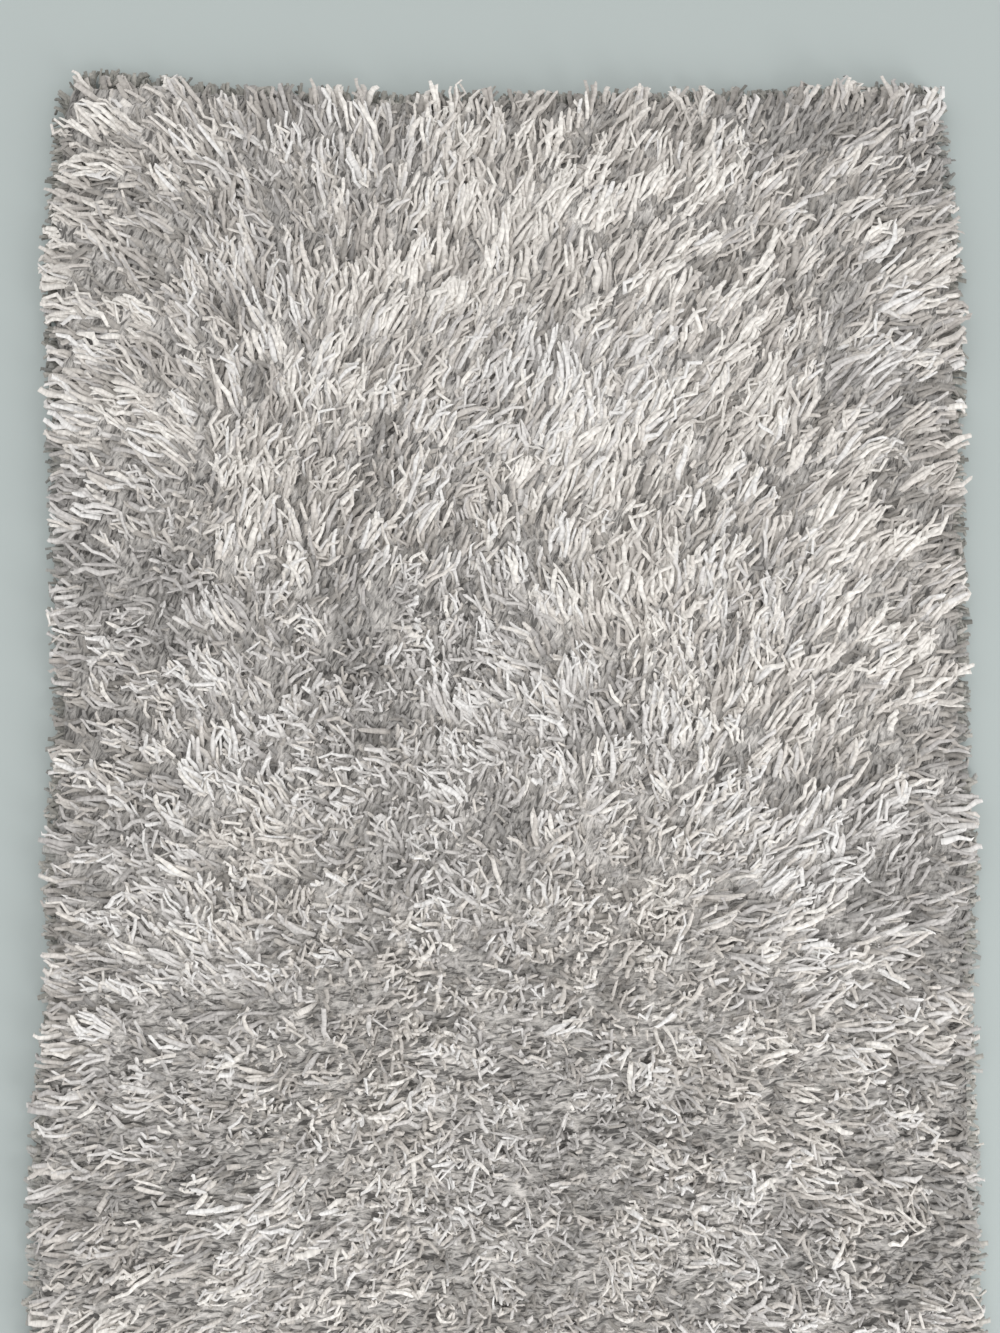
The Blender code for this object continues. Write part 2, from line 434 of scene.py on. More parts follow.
lowerPile = {
    "inset": 0.006,            # its rim lies this far inside the outline
    "cells": (100, 200),
    "low": 0.0180, "top": 0.0195,      # its height where the pile stands, and where it lies flat
    "flatAt": 0.8,
    "rise": 0.003, "riseSize": 0.010, "riseSeed": 21,    # how far it rises and falls from spot to spot
    "riseAbove": 0.006,        # and only where it is higher than this
    "edgeRun": 0.02,           # how far in from the rim it reaches its height
    "backingTop": 0.0032, "rimHeight": 0.0006,
    "rimDepth": 0.06, "rimBand": 0.03, "rimMove": 0.012,    # how its outer cells are drawn to its rim
    "patchGain": 0.11,         # how much brighter it is in a bright patch
    "gainRange": (-3, 2.5),
    "rimShade": 0.45, "rimShadeRun": 0.022,    # how much darker it is at its rim, and how far in
    "gap": (0.0090, 0.0032, 0.005),    # size of the gaps along them, across them, and downwards
    "gapDetail": 5, "gapBend": 0.9,
    "nearGaps": (4, 1.0), "farGaps": (68, 0.85),    # their heading in degrees, and their depth
    "turnAt": (-0.05, 0.15),   # between these places on Y the near gaps give way to the far ones
    "bump": (1.0, 0.005),
    "roughness": 0.95,
    "smoothBelow": 60,         # degrees between faces, where its shading is smooth
    # how grey it is at a few levels, from the bottom of a gap to the top; the dark bottom is painted
    # shade
    "greys": [(0.40, 0.16), (0.47, 0.43), (0.54, 0.60), (0.62, 0.77)],
    "warmth": (1.0, 0.955, 0.905),
}


def bedLevel(places):
    # higher under pile that lies flat, and rounded down to the backing at the rim
    outside = outlineAt(places)[0]
    inside = ((-outside - lowerPile["inset"]) / lowerPile["edgeRun"]).clip(0, 1)
    flat = (np.hypot(*napAt(places).T) / lowerPile["flatAt"]).clip(0, 1)
    top = lowerPile["low"] + (lowerPile["top"] - lowerPile["low"]) * flat
    rim = lowerPile["backingTop"] + lowerPile["rimHeight"]
    return rim + (top - rim) * np.sqrt(1 - (1 - inside) ** 2)


def addNode(tree, kind, **settings):
    node = tree.nodes.new(kind)
    for key, value in settings.items():
        setattr(node, key, value)
    return node


def mathNode(tree, operation, first, second=None):
    node = addNode(tree, "ShaderNodeMath", operation=operation)
    for socket, value in zip(node.inputs, (first, second)):
        if isinstance(value, (int, float)):
            socket.default_value = value
        elif value is not None:
            tree.links.new(value, socket)
    return node.outputs[0]


def rampNode(tree, factor, stops):
    node = addNode(tree, "ShaderNodeValToRGB")
    ramp = node.color_ramp
    while len(ramp.elements) < len(stops):
        ramp.elements.new(0.5)
    for element, (position, colour) in zip(ramp.elements, stops):
        element.position = position
        element.color = (*colour, 1)
    tree.links.new(factor, node.inputs[0])
    return node.outputs[0]


def multiplied(tree, first, second):
    node = addNode(tree, "ShaderNodeMix", data_type="RGBA", blend_type="MULTIPLY")
    node.inputs["Factor"].default_value = 1
    tree.links.new(first, node.inputs[6])
    tree.links.new(second, node.inputs[7])
    return node.outputs[2]


def noiseNode(tree, place, scale, detail, distortion=0.0):
    node = addNode(tree, "ShaderNodeTexNoise")
    node.inputs["Scale"].default_value = scale
    node.inputs["Detail"].default_value = detail
    node.inputs["Distortion"].default_value = distortion
    tree.links.new(place, node.inputs["Vector"])
    return node.outputs[0]


def addBump(tree, height, strength, distance):
    bump = addNode(tree, "ShaderNodeBump")
    bump.inputs["Strength"].default_value = strength
    bump.inputs["Distance"].default_value = distance
    tree.links.new(height, bump.inputs["Height"])
    tree.links.new(bump.outputs[0], tree.nodes["Principled BSDF"].inputs["Normal"])


def newMaterial(name, roughness):
    material = bpy.data.materials.new(name)
    material.use_nodes = True
    shader = material.node_tree.nodes["Principled BSDF"]
    shader.inputs["Roughness"].default_value = roughness
    return material, material.node_tree, shader


def bedNoise(tree, place, heading, strength):
    # noise that is long along the heading and narrow across it
    stretch = addNode(tree, "ShaderNodeMapping", vector_type="TEXTURE")
    stretch.inputs["Rotation"].default_value = (0, 0, radians(heading))
    stretch.inputs["Scale"].default_value = lowerPile["gap"]
    tree.links.new(place, stretch.inputs["Vector"])
    noise = noiseNode(tree, stretch.outputs[0], 1, lowerPile["gapDetail"], lowerPile["gapBend"])
    return mathNode(tree, "ADD", mathNode(tree, "MULTIPLY", noise, strength), 0.5 - strength / 2)


def bedMaterial():
    # packed yarn ends, with painted shade in the gaps between them: the gaps run across the near part
    # of the rug, and with the nap in the far part
    material, tree, shader = newMaterial("lowerPile", lowerPile["roughness"])
    place = addNode(tree, "ShaderNodeTexCoord").outputs["Object"]
    split = addNode(tree, "ShaderNodeSeparateXYZ")
    tree.links.new(place, split.inputs[0])
    toFar = addNode(tree, "ShaderNodeMapRange")
    toFar.inputs["From Min"].default_value = lowerPile["turnAt"][0]
    toFar.inputs["From Max"].default_value = lowerPile["turnAt"][1]
    tree.links.new(split.outputs["Y"], toFar.inputs["Value"])
    blend = addNode(tree, "ShaderNodeMix")
    tree.links.new(toFar.outputs[0], blend.inputs["Factor"])
    tree.links.new(bedNoise(tree, place, *lowerPile["nearGaps"]), blend.inputs["A"])
    tree.links.new(bedNoise(tree, place, *lowerPile["farGaps"]), blend.inputs["B"])
    height = blend.outputs[0]
    warmth = np.array(lowerPile["warmth"])
    stops = [(level, tuple(grey * warmth)) for level, grey in lowerPile["greys"]]
    colour = rampNode(tree, height, stops)
    patch = addNode(tree, "ShaderNodeAttribute", attribute_name="patch")
    tree.links.new(multiplied(tree, colour, patch.outputs["Color"]), shader.inputs["Base Color"])
    addBump(tree, height, *lowerPile["bump"])
    return material


def makeLowerPile():
    # the dense lower pile, packed too close to show strands
    bpy.ops.object.select_all(action="DESELECT")
    cellsX, cellsY = lowerPile["cells"]
    bpy.ops.mesh.primitive_grid_add(x_subdivisions=cellsX, y_subdivisions=cellsY, size=1)
    bed = bpy.context.object
    bed.name = "lower_pile"
    inset = 2 * lowerPile["inset"]
    bed.scale = (cadHigh.x - cadLow.x - inset, cadHigh.y - cadLow.y - inset, 1)
    bpy.ops.object.transform_apply(location=False, rotation=False, scale=True)
    co = np.empty(len(bed.data.vertices) * 3)
    bed.data.vertices.foreach_get("co", co)
    co = co.reshape(-1, 3)
    outside, outward, _ = outlineAt(co[:, :2])
    nearRim = (1 + outside / lowerPile["rimDepth"]).clip(0, 1) ** 2 * (outside > -lowerPile["rimBand"])
    drawnIn = (outside + lowerPile["inset"]).clip(-lowerPile["rimMove"], lowerPile["rimMove"])
    co[:, :2] -= outward * (nearRim * drawnIn)[:, None]
    level = bedLevel(co[:, :2])
    rise = softNoise(co[:, :2], lowerPile["riseSize"], lowerPile["riseSeed"])
    co[:, 2] = level + lowerPile["rise"] * rise * (level > lowerPile["riseAbove"])
    bed.data.vertices.foreach_set("co", co.ravel())
    bed.data.update()
    # painted light and shade: the lower pile is lighter or darker with the patches, and darker towards
    # its rim
    patch = bed.data.attributes.new("patch", "FLOAT", "POINT")
    shade = 1 + lowerPile["patchGain"] * lightAt(co[:, :2]).clip(*lowerPile["gainRange"])
    rimward = (1 + outlineAt(co[:, :2])[0] / lowerPile["rimShadeRun"]).clip(0, 1)
    shade -= lowerPile["rimShade"] * rimward
    patch.data.foreach_set("value", shade)

    # its rim drops to the backing, and a flat face closes it underneath
    bpy.ops.object.mode_set(mode="EDIT")
    bpy.ops.mesh.select_mode(type="EDGE")
    bpy.ops.mesh.select_all(action="DESELECT")
    bpy.ops.mesh.select_non_manifold()
    bpy.ops.mesh.extrude_edges_move()
    bpy.ops.transform.resize(value=(1, 1, 0), center_override=(0, 0, lowerPile["backingTop"]))
    bpy.ops.mesh.edge_face_add()
    bpy.ops.mesh.select_all(action="SELECT")
    bpy.ops.mesh.normals_make_consistent(inside=False)
    bpy.ops.object.mode_set(mode="OBJECT")
    bpy.ops.object.shade_smooth_by_angle(angle=radians(lowerPile["smoothBelow"]))
    bed.data.materials.append(bedMaterial())
    return bed


bed = makeLowerPile()
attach(bed, "root")
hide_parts("shag_rug")
print("lower pile made,", len(bed.data.polygons), "faces")

# the two yarns of the pile, and the short ends under its edge
greigeYarn = {
    "name": "greigeYarn",
    "length": 0.021, "lengthVaries": 0.25,
    "radius": 0.0017, "radiusVaries": 0.22,
    "shortUp": 0.12, "thinUp": 0.35,   # how much shorter and thinner they are where the pile stands
    "shadeUp": 0.0,            # how much lighter they are there: painted light, or painted shade when below 0
    "spread": 0.0025,          # strands of a tuft start about this far from its middle
    "stray": 0.28, "strayUp": 0.12,    # how far each goes its own way, and how much more there
    "loose": 0.0,              # share of the strands that came loose and lie across the others
    "curl": 26, "ownCurl": 46,         # degrees of bend sideways, shared by a tuft and a strand's own
    "wiggle": 0.0020, "waves": 1.6,
    "lift": -0.001,            # how far above the pile's height they may reach
    "overhang": -0.001,        # how far the tips pass the outline before they hang down
    "lockPull": 0.35,          # how far the tips of a lock draw together
    "knots": (0.0, 0.46, 0.93, 1.0),   # where along its length a strand bends
    "girth": (0.95, 1.05, 0.90), "uneven": 0.18,
    "shades": 8, "shadeVaries": 0.10,  # each shade is a row of the yarn's map
    "dark": (0.35, 0.335, 0.32), "middle": (0.55, 0.525, 0.50), "light": (0.735, 0.705, 0.675),
    "rootShade": (0.96, 0.955, 0.95),
    "edgeShade": 0.96,
    "fibres": 6, "fibreDepth": 0.10,
    "fuzz": 10, "fuzzDepth": 0.14,      # lighter and darker spots along a strand
    "roughness": 0.9, "sheen": 0.3,
}
creamYarn = {
    "name": "creamYarn",
    "length": 0.035, "lengthVaries": 0.22,
    "radius": 0.00180, "radiusVaries": 0.18,
    "shortUp": 0.10, "thinUp": 0.42,
    # painted shade: cream threads are duller where the pile stands up
    "shadeUp": -0.34,
    "spread": 0.0021,
    "stray": 0.14, "strayUp": 0.26,
    "loose": 0.10,
    "curl": 22, "ownCurl": 26,
    "wiggle": 0.0024, "waves": 1.9,
    "lift": 0.0015,
    "overhang": 0.0,
    "lockPull": 0.58,
    "knots": (0.0, 0.22, 0.45, 0.68, 0.93, 1.0),
    "girth": (0.85, 1.0, 1.05, 1.0, 0.80), "uneven": 0.16,
    "shades": 8, "shadeVaries": 0.06,
    "dark": (0.52, 0.495, 0.475), "middle": (0.715, 0.687, 0.66), "light": (0.865, 0.845, 0.82),
    "rootShade": (0.96, 0.955, 0.95),
    "edgeShade": 0.96,
    "fibres": 4, "fibreDepth": 0.07,
    "fuzz": 15, "fuzzDepth": 0.13,
    "roughness": 0.8, "sheen": 0.25,
}
rimYarn = {
    **greigeYarn,
    "name": "rimYarn",
    "length": 0.018, "lengthVaries": 0.30,
    "radius": 0.0016,
    "spread": 0.0014,
    "overhang": 0.002,
    "pitch": 0.0047, "perPlace": 2,
    "outward": 0.4, "astray": 0.35,    # how far they lean out, and how far each goes its own way
    "top": 0.012,              # the pile's height there
    # painted shade: the rim ends are darker than the greige yarn, as if in the pile's shadow
    "dark": (0.20, 0.20, 0.185), "middle": (0.38, 0.375, 0.35), "light": (0.57, 0.555, 0.525),
    "shadeVaries": 0.22,
    "band": (0.006, 0.018),    # where they are rooted, measured in from the outline
    "darkenAt": (-0.1, 0.3), "darkness": (-1.0, 1.2),   # between these places on Y they grow darker: painted shade, deepest at the far end
}

# how the strands of every yarn grow
growth = {
    "edgeStart": 0.010, "edgeRun": 0.030,  # this far in they lean out fully, and then less and less
    "edgeShort": 0.25, "edgeTilt": 20,     # how much shorter and how many degrees flatter there
    "flatRange": (0.1, 1.1),
    "rootVaries": 8, "tipVaries": 10,      # degrees
    "bendPower": 0.75,         # below 1 they bend over early
    "curlUp": 1.5, "curlLess": 0.75,       # curl where the pile stands, and the loss where it lies flat
    "curlFrom": 0.3,           # here along its length a strand points along its arrow
    "wiggleUp": 1.6, "wiggleLess": 0.8,
    "wigglePower": 0.5,        # below 1 the wiggle starts near the root
    "sunk": 0.003,             # how deep in the lower pile they start
    "room": 0.97, "roomVaries": 0.05,      # the share of the pile's height that they fill
    "overhangVaries": 0.003,
    "foldBack": 0.80, "hangDown": 0.5,     # shares of what passes the outline that turn back, and down
    "clearance": 1.5,          # how high they stay above the ground, in radii
    "pullPower": 1.3,          # above 1 a lock pulls at the tips more than lower down
}


def growStrands(yarn, root, arrow, curl, top):
    # each strand rises from its stitch, bends over along its arrow, and hangs down past the outline
    total = len(root)
    outside, outward, bulge = outlineAt(root)
    nearEdge = (1 + (outside + bulge + growth["edgeStart"]) / growth["edgeRun"]).clip(0, 1)
    arrow = arrow + outward * (pile["edgeLean"] * nearEdge)[:, None]
    way = np.arctan2(arrow[:, 1], arrow[:, 0])
    flat = np.hypot(*arrow.T).clip(*growth["flatRange"])
    length = yarn["length"] * (1 + yarn["lengthVaries"] * draw.normal(0, 1, total).clip(-2, 2))
    radius = yarn["radius"] * (1 + yarn["radiusVaries"] * draw.normal(0, 1, total).clip(-2, 2))
    radius *= 1 - yarn["thinUp"] * (1 - flat)
    length *= (1 - yarn["shortUp"] * (1 - flat)) * (1 - growth["edgeShort"] * nearEdge)
    (upright, laid), (bent, hanging) = pile["rootTilt"], pile["tipTilt"]
    first = np.radians(upright + laid * flat + growth["rootVaries"] * draw.normal(0, 1, total))
    last = bent + hanging * flat + growth["tipVaries"] * draw.normal(0, 1, total)
    last = np.radians(last + growth["edgeTilt"] * nearEdge)
    curl = curl * (growth["curlUp"] - growth["curlLess"] * flat)
    wiggle = yarn["wiggle"] * (growth["wiggleUp"] - growth["wiggleLess"] * flat)
    wiggle *= draw.normal(0, 1, total)
    phase = draw.uniform(0, 2 * pi, total)
    knots = np.array(yarn["knots"])
    path = np.zeros((total, len(knots), 3))
    path[:, 0, :2] = root
    path[:, 0, 2] = bedLevel(root) - growth["sunk"]
    for k in range(1, len(knots)):
        middle = (knots[k - 1] + knots[k]) / 2
        tilt = first + (last - first) * middle ** growth["bendPower"]
        turned = way + curl * (middle - growth["curlFrom"])
        step = (knots[k] - knots[k - 1]) * length
        path[:, k, 0] = path[:, k - 1, 0] + step * np.sin(tilt) * np.cos(turned)
        path[:, k, 1] = path[:, k - 1, 1] + step * np.sin(tilt) * np.sin(turned)
        path[:, k, 2] = path[:, k - 1, 2] + step * np.cos(tilt)
    wave = np.sin(phase[:, None] + 2 * pi * yarn["waves"] * knots[None])
    sway = wiggle[:, None] * wave * knots[None] ** growth["wigglePower"]
    path[:, :, 0] -= sway * np.sin(way)[:, None]
    path[:, :, 1] += sway * np.cos(way)[:, None]
    share = growth["room"] + growth["roomVaries"] * draw.normal(0, 1, total)
    room = top * share + yarn["lift"] - radius
    path[:, :, 2] *= np.minimum(1, room / path[:, :, 2].max(1))[:, None]
    limit = yarn["overhang"] + growth["overhangVaries"] * draw.normal(0, 1, total)
    for k in range(1, len(knots)):
        outside, outward, _ = outlineAt(path[:, k, :2])
        over = np.maximum(outside - limit, 0)
        path[:, k, :2] -= outward * (growth["foldBack"] * over)[:, None]
        path[:, k, 2] -= growth["hangDown"] * over
    path[:, :, 2] = np.maximum(path[:, :, 2], growth["clearance"] * radius[:, None])
    return path, radius


def drawTogether(yarn, path, lock):
    # the tips of a lock lean towards each other
    knots = np.array(yarn["knots"])
    members = np.maximum(np.bincount(lock, minlength=len(locks)), 1)
    for axis in range(2):
        tip = np.bincount(lock, path[:, -1, axis], len(locks)) / members
        pull = yarn["lockPull"] * (tip[lock] - path[:, -1, axis])
        path[:, :, axis] += pull[:, None] * knots[None] ** growth["pullPower"]


# which strands are warmer than the others, in soft spots and more of them towards the ends of the rug
yarnTint = {
    "spotSize": 0.09, "seed": 31,
    "varies": 0.6,
    "endsGain": 1.2, "middleY": 0.1,
    "warmFrom": 0.2,
    "cool": (0.984, 0.986, 0.990), "warm": (1.018, 1.0, 0.970),
}


def pickRow(yarn, root, gain, standing):
    # the row of the yarn's map that colours each strand: its shades, then the same again but warmer
    # the gain brings in painted light and shade from the patches, the rim and the standing pile
    shade = 0.5 + yarn["shadeVaries"] * draw.normal(0, 1, len(root)) + pile["shadeGain"] * gain
    # painted light or shade where the pile stands up
    shade += yarn["shadeUp"] * standing
    warmth = softNoise(root, yarnTint["spotSize"], yarnTint["seed"])
    warmth += yarnTint["varies"] * draw.normal(0, 1, len(root))
    warmth += yarnTint["endsGain"] * abs(root[:, 1] - yarnTint["middleY"])
    warm = warmth > yarnTint["warmFrom"]
    return (yarn["shades"] * shade).clip(0, yarn["shades"] - 1).astype(int) + yarn["shades"] * warm


# the bunches of a yarn start off their tuft's middle, and loose threads lie on top of the rest
bunching = {
    "offset": 0.0024,
    "looseStray": 0.4, "looseCurl": 1.6,
    "looseRise": 0.001, "looseGain": 1.8,
}


def tuftStrands(yarn, count):
    # the strands of each tuft start together and bend much the same way
    whose = np.repeat(np.arange(len(tufts)), count)
    start = tufts + draw.normal(0, bunching["offset"], tufts.shape)
    root = start[whose] + draw.normal(0, yarn["spread"], (len(whose), 2))
    stray = yarn["stray"] + yarn["strayUp"] * (1 - flatness[whose])
    arrow = nap[whose] + combed(stray[:, None] * draw.normal(0, 1, root.shape), root)
    curl = yarn["curl"] * draw.normal(0, 1, len(tufts))[whose]
    curl += yarn["ownCurl"] * draw.normal(0, 1, len(whose))
    loose = draw.uniform(0, 1, len(whose)) < yarn["loose"]
    arrow[loose] += bunching["looseStray"] * draw.normal(0, 1, (loose.sum(), 2))
    curl[loose] *= bunching["looseCurl"]
    top = pileTops[whose] + bunching["looseRise"] * loose
    path, radius = growStrands(yarn, root, arrow, np.radians(curl), top)
    drawTogether(yarn, path, lockOf[whose])
    gain = light[whose] + bunching["looseGain"] * loose
    return path, radius, pickRow(yarn, root, gain, 1 - flatness[whose])


def rimStrands(yarn):
    # short ends that hang over the edge of the backing, all round, coloured dark as painted shade
    places = np.repeat(staggered(yarn["pitch"], yarn["pitch"] / 2), yarn["perPlace"], axis=0)
    root = places + draw.normal(0, yarn["spread"], places.shape)
    outside, outward, _ = outlineAt(root)
    outer, inner = yarn["band"]
    kept = (outside > -inner) & (outside < -outer)
    root, outward = root[kept], outward[kept]
    arrow = yarn["outward"] * outward + yarn["astray"] * draw.normal(0, 1, root.shape)
    curl = np.radians(yarn["curl"] * draw.normal(0, 1, len(root)))
    path, radius = growStrands(yarn, root, arrow, curl, np.full(len(root), yarn["top"]))
    # painted shade that grows towards the far end
    darkness = np.interp(root[:, 1], yarn["darkenAt"], yarn["darkness"])
    return path, radius, pickRow(yarn, root, -darkness, 0)


def strandMesh(name, yarn, path, radius, row):
    # joined three-sided tubes, flat side up, each with a closed root and a drawn-in tip
    normalLift = 2.0           # how far the shading normals turn up, so that a thread looks soft
    clearEnds, clearSides, rootCap = 0.02, 0.08, 0.04      # parts of a map row
    total, points, _ = path.shape
    rings = points - 1
    along = np.empty((total, rings, 3))
    along[:, 0] = path[:, 1] - path[:, 0]
    along[:, 1:] = path[:, 2:] - path[:, :-2]
    along /= np.linalg.norm(along, axis=2, keepdims=True)
    reach = (path[:, -1] - path[:, 0]) * (1, 1, 0)
    side = np.cross(reach, (0, 0, 1.0))
    side /= np.maximum(np.linalg.norm(side, axis=1, keepdims=True), 1e-9)
    side = np.repeat(side[:, None, :], rings, 1)
    side -= along * (side * along).sum(2, keepdims=True)
    side /= np.linalg.norm(side, axis=2, keepdims=True)
    over = np.cross(side, along)
    width = radius[:, None] * np.array(yarn["girth"])[None, :]
    width *= 1 + yarn["uneven"] * draw.normal(0, 1, width.shape).clip(-2, 2)
    verts = np.empty((total, rings * 3 + 1, 3))
    normals = np.empty_like(verts)
    for corner in range(3):
        angle = 2 * pi * corner / 3 - pi / 2
        outward = side * cos(angle) + over * sin(angle)
        verts[:, corner:rings * 3:3] = path[:, :rings] + outward * width[:, :, None]
        normals[:, corner:rings * 3:3] = outward + (0, 0, normalLift)
    verts[:, -1] = path[:, -1]
    normals[:, -1] = along[:, -1] + (0, 0, normalLift)

    quads, quadUvs, tris, triUvs = [], [], [], []
    knots = yarn["knots"]
    for ring in range(rings - 1):
        for corner in range(3):
            this, other = ring * 3 + corner, ring * 3 + (corner + 1) % 3
            quads.append((other, this, this + 3, other + 3))
            quadUvs.append([(knots[ring], (corner + 1) / 3), (knots[ring], corner / 3),
                            (knots[ring + 1], corner / 3), (knots[ring + 1], (corner + 1) / 3)])
    last = (rings - 1) * 3
    for corner in range(3):
        tris.append((last + (corner + 1) % 3, last + corner, rings * 3))
        triUvs.append([(knots[-2], (corner + 1) / 3), (knots[-2], corner / 3),
                       (1.0, (corner + 0.5) / 3)])
    tris.append((0, 1, 2))
    triUvs.append([(0, 0), (rootCap, 0.5), (rootCap, 1)])

    perStrand = rings * 3 + 1
    shift = (np.arange(total) * perStrand)[:, None, None]
    quadIds = (np.array(quads)[None] + shift).reshape(-1, 4)
    triIds = (np.array(tris)[None] + shift).reshape(-1, 3)
    corners = np.concatenate([quadIds.ravel(), triIds.ravel()]).astype(np.int32)
    quadStarts = np.arange(len(quadIds)) * 4
    triStarts = len(quadIds) * 4 + np.arange(len(triIds)) * 3
    starts = np.concatenate([quadStarts, triStarts])
    mesh = bpy.data.meshes.new(name)
    mesh.vertices.add(total * perStrand)
    mesh.vertices.foreach_set("co", verts.astype(np.float32).ravel())
    mesh.loops.add(len(corners))
    mesh.loops.foreach_set("vertex_index", corners)
    mesh.polygons.add(len(starts))
    mesh.polygons.foreach_set("loop_start", starts.astype(np.int32))
    mesh.update(calc_edges=True)
    mesh.shade_smooth()

    def laid(uvs):
        # each strand's tube laid out flat in the row of its shade, a little clear of the row's edges
        uv = np.repeat(np.array(uvs, float)[None], total, 0)
        uv[..., 0] = clearEnds + (1 - 2 * clearEnds) * uv[..., 0]
        across = clearSides + (1 - 2 * clearSides) * uv[..., 1]
        uv[..., 1] = (row[:, None, None] + across) / (2 * yarn["shades"])
        return uv.reshape(-1, 2)

    layer = mesh.uv_layers.new(name="OFBake")
    uvs = np.concatenate([laid(quadUvs), laid(triUvs)])
    layer.uv.foreach_set("vector", uvs.astype(np.float32).ravel())
    mesh.normals_split_custom_set_from_vertices(normals.reshape(-1, 3).tolist())
    piece = bpy.data.objects.new(name, mesh)
    bpy.context.scene.collection.objects.link(piece)
    print(name, "has", total, "strands and", len(quadIds) * 2 + len(triIds), "triangles")
    return piece


# how every yarn is spun: what its material needs besides the yarn's own values
spinning = {
    "plainFrom": 0.45,         # from here to the tip a strand has no root shade
    "crown": (0.32, 0.44, 0.56, 0.68),     # where on the thread its edges are darker, painted shade
    "twist": 0.5, "fibreStretch": 2.5, "fibreDetail": 3, "fibreBand": (0.35, 0.65),
    "bump": (0.35, 0.0004),
    "fuzzAcross": 1.7, "fuzzDetail": 2, "fuzzBand": (0.38, 0.60), "fuzzLight": 0.6,
    "sheenRoughness": 0.5, "specular": 0.3,
}


def greyOf(level):
    # a colour with no tint
    return (level, level, level)


def yarnMaterial(yarn):
    # each row of the map is a shade, from root to tip along it; the fibres run lengthwise with a twist
    material, tree, shader = newMaterial(yarn["name"], yarn["roughness"])
    spot = addNode(tree, "ShaderNodeUVMap", uv_map="OFBake")
    split = addNode(tree, "ShaderNodeSeparateXYZ")
    tree.links.new(spot.outputs[0], split.inputs[0])
    along = split.outputs["X"]
    across = mathNode(tree, "MULTIPLY", split.outputs["Y"], 2 * yarn["shades"])
    row = mathNode(tree, "FLOOR", across)
    warm = mathNode(tree, "GREATER_THAN", row, yarn["shades"] - 0.5)
    plainRow = mathNode(tree, "SUBTRACT", row, mathNode(tree, "MULTIPLY", warm, yarn["shades"]))
    shade = mathNode(tree, "DIVIDE", plainRow, yarn["shades"] - 1)
    base = rampNode(tree, shade, [(0, yarn["dark"]), (0.5, yarn["middle"]), (1, yarn["light"])])
    tint = rampNode(tree, warm, [(0, yarnTint["cool"]), (1, yarnTint["warm"])])
    rootStops = [(0, yarn["rootShade"]), (spinning["plainFrom"], greyOf(1)), (1, greyOf(1))]
    rootShade = rampNode(tree, along, rootStops)

    # painted shade: a thread is darker towards its edges, where its round side turns away from the
    # light
    acrossRow = mathNode(tree, "FRACT", across)
    edge = greyOf(yarn["edgeShade"])
    crown = rampNode(tree, acrossRow, list(zip(spinning["crown"], (edge, greyOf(1), greyOf(1), edge))))
    around = mathNode(tree, "ADD", across, mathNode(tree, "MULTIPLY", along, spinning["twist"]))
    spread = addNode(tree, "ShaderNodeCombineXYZ")
    tree.links.new(mathNode(tree, "MULTIPLY", along, spinning["fibreStretch"]), spread.inputs[0])
    tree.links.new(mathNode(tree, "MULTIPLY", around, yarn["fibres"]), spread.inputs[1])
    fibre = noiseNode(tree, spread.outputs[0], 1, spinning["fibreDetail"])
    depths = greyOf(1 - yarn["fibreDepth"]), greyOf(1 + yarn["fibreDepth"])
    streaks = rampNode(tree, fibre, list(zip(spinning["fibreBand"], depths)))
    addBump(tree, fibre, *spinning["bump"])

    spots = addNode(tree, "ShaderNodeCombineXYZ")
    tree.links.new(mathNode(tree, "MULTIPLY", along, yarn["fuzz"]), spots.inputs[0])
    tree.links.new(mathNode(tree, "MULTIPLY", across, spinning["fuzzAcross"]), spots.inputs[1])
    fuzz = noiseNode(tree, spots.outputs[0], 1, spinning["fuzzDetail"])
    depths = greyOf(1 - yarn["fuzzDepth"]), greyOf(1 + spinning["fuzzLight"] * yarn["fuzzDepth"])
    worn = rampNode(tree, fuzz, list(zip(spinning["fuzzBand"], depths)))

    colour = multiplied(tree, multiplied(tree, base, tint), multiplied(tree, rootShade, streaks))
    colour = multiplied(tree, multiplied(tree, colour, worn), crown)
    tree.links.new(colour, shader.inputs["Base Color"])
    shader.inputs["Sheen Weight"].default_value = yarn["sheen"]
    shader.inputs["Sheen Roughness"].default_value = spinning["sheenRoughness"]
    shader.inputs["Specular IOR Level"].default_value = spinning["specular"]
    return material


perTuft = pile["greigeUp"] + (pile["greigeFlat"] - pile["greigeUp"]) * flatness
greigeCount = np.floor(perTuft + draw.uniform(0, 1, len(tufts))).astype(int)
hasBunch = draw.uniform(0, 1, len(tufts)) < pile["bunchShare"] + pile["bunchGain"] * light
perBunch = pile["bunchUp"] + (pile["bunchFlat"] - pile["bunchUp"]) * flatness
bunchSize = np.floor(perBunch + draw.uniform(0, 1, len(tufts))).astype(int)
creamCount = np.where(hasBunch, bunchSize, 0)
pileParts = [
    # name, yarn, its strands, number of pieces, slot
    ("greige_pile", greigeYarn, tuftStrands(greigeYarn, greigeCount), 3, "pile_yarn"),
    ("cream_pile", creamYarn, tuftStrands(creamYarn, creamCount), 3, "cream_yarn"),
    ("rim_pile", rimYarn, rimStrands(rimYarn), 1, "pile_yarn"),
]
for label, yarn, strands, parts, slot in pileParts:
    material = yarnMaterial(yarn)
    farToNear = np.argsort(-strands[0][:, 0, 1], kind="stable")
    for number, chosen in enumerate(np.array_split(farToNear, parts), 1):
        piece = strandMesh(f"{label}_{number}", yarn, *[values[chosen] for values in strands])
        piece.data.materials.append(material)
        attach(piece, "root")
        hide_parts("shag_rug")

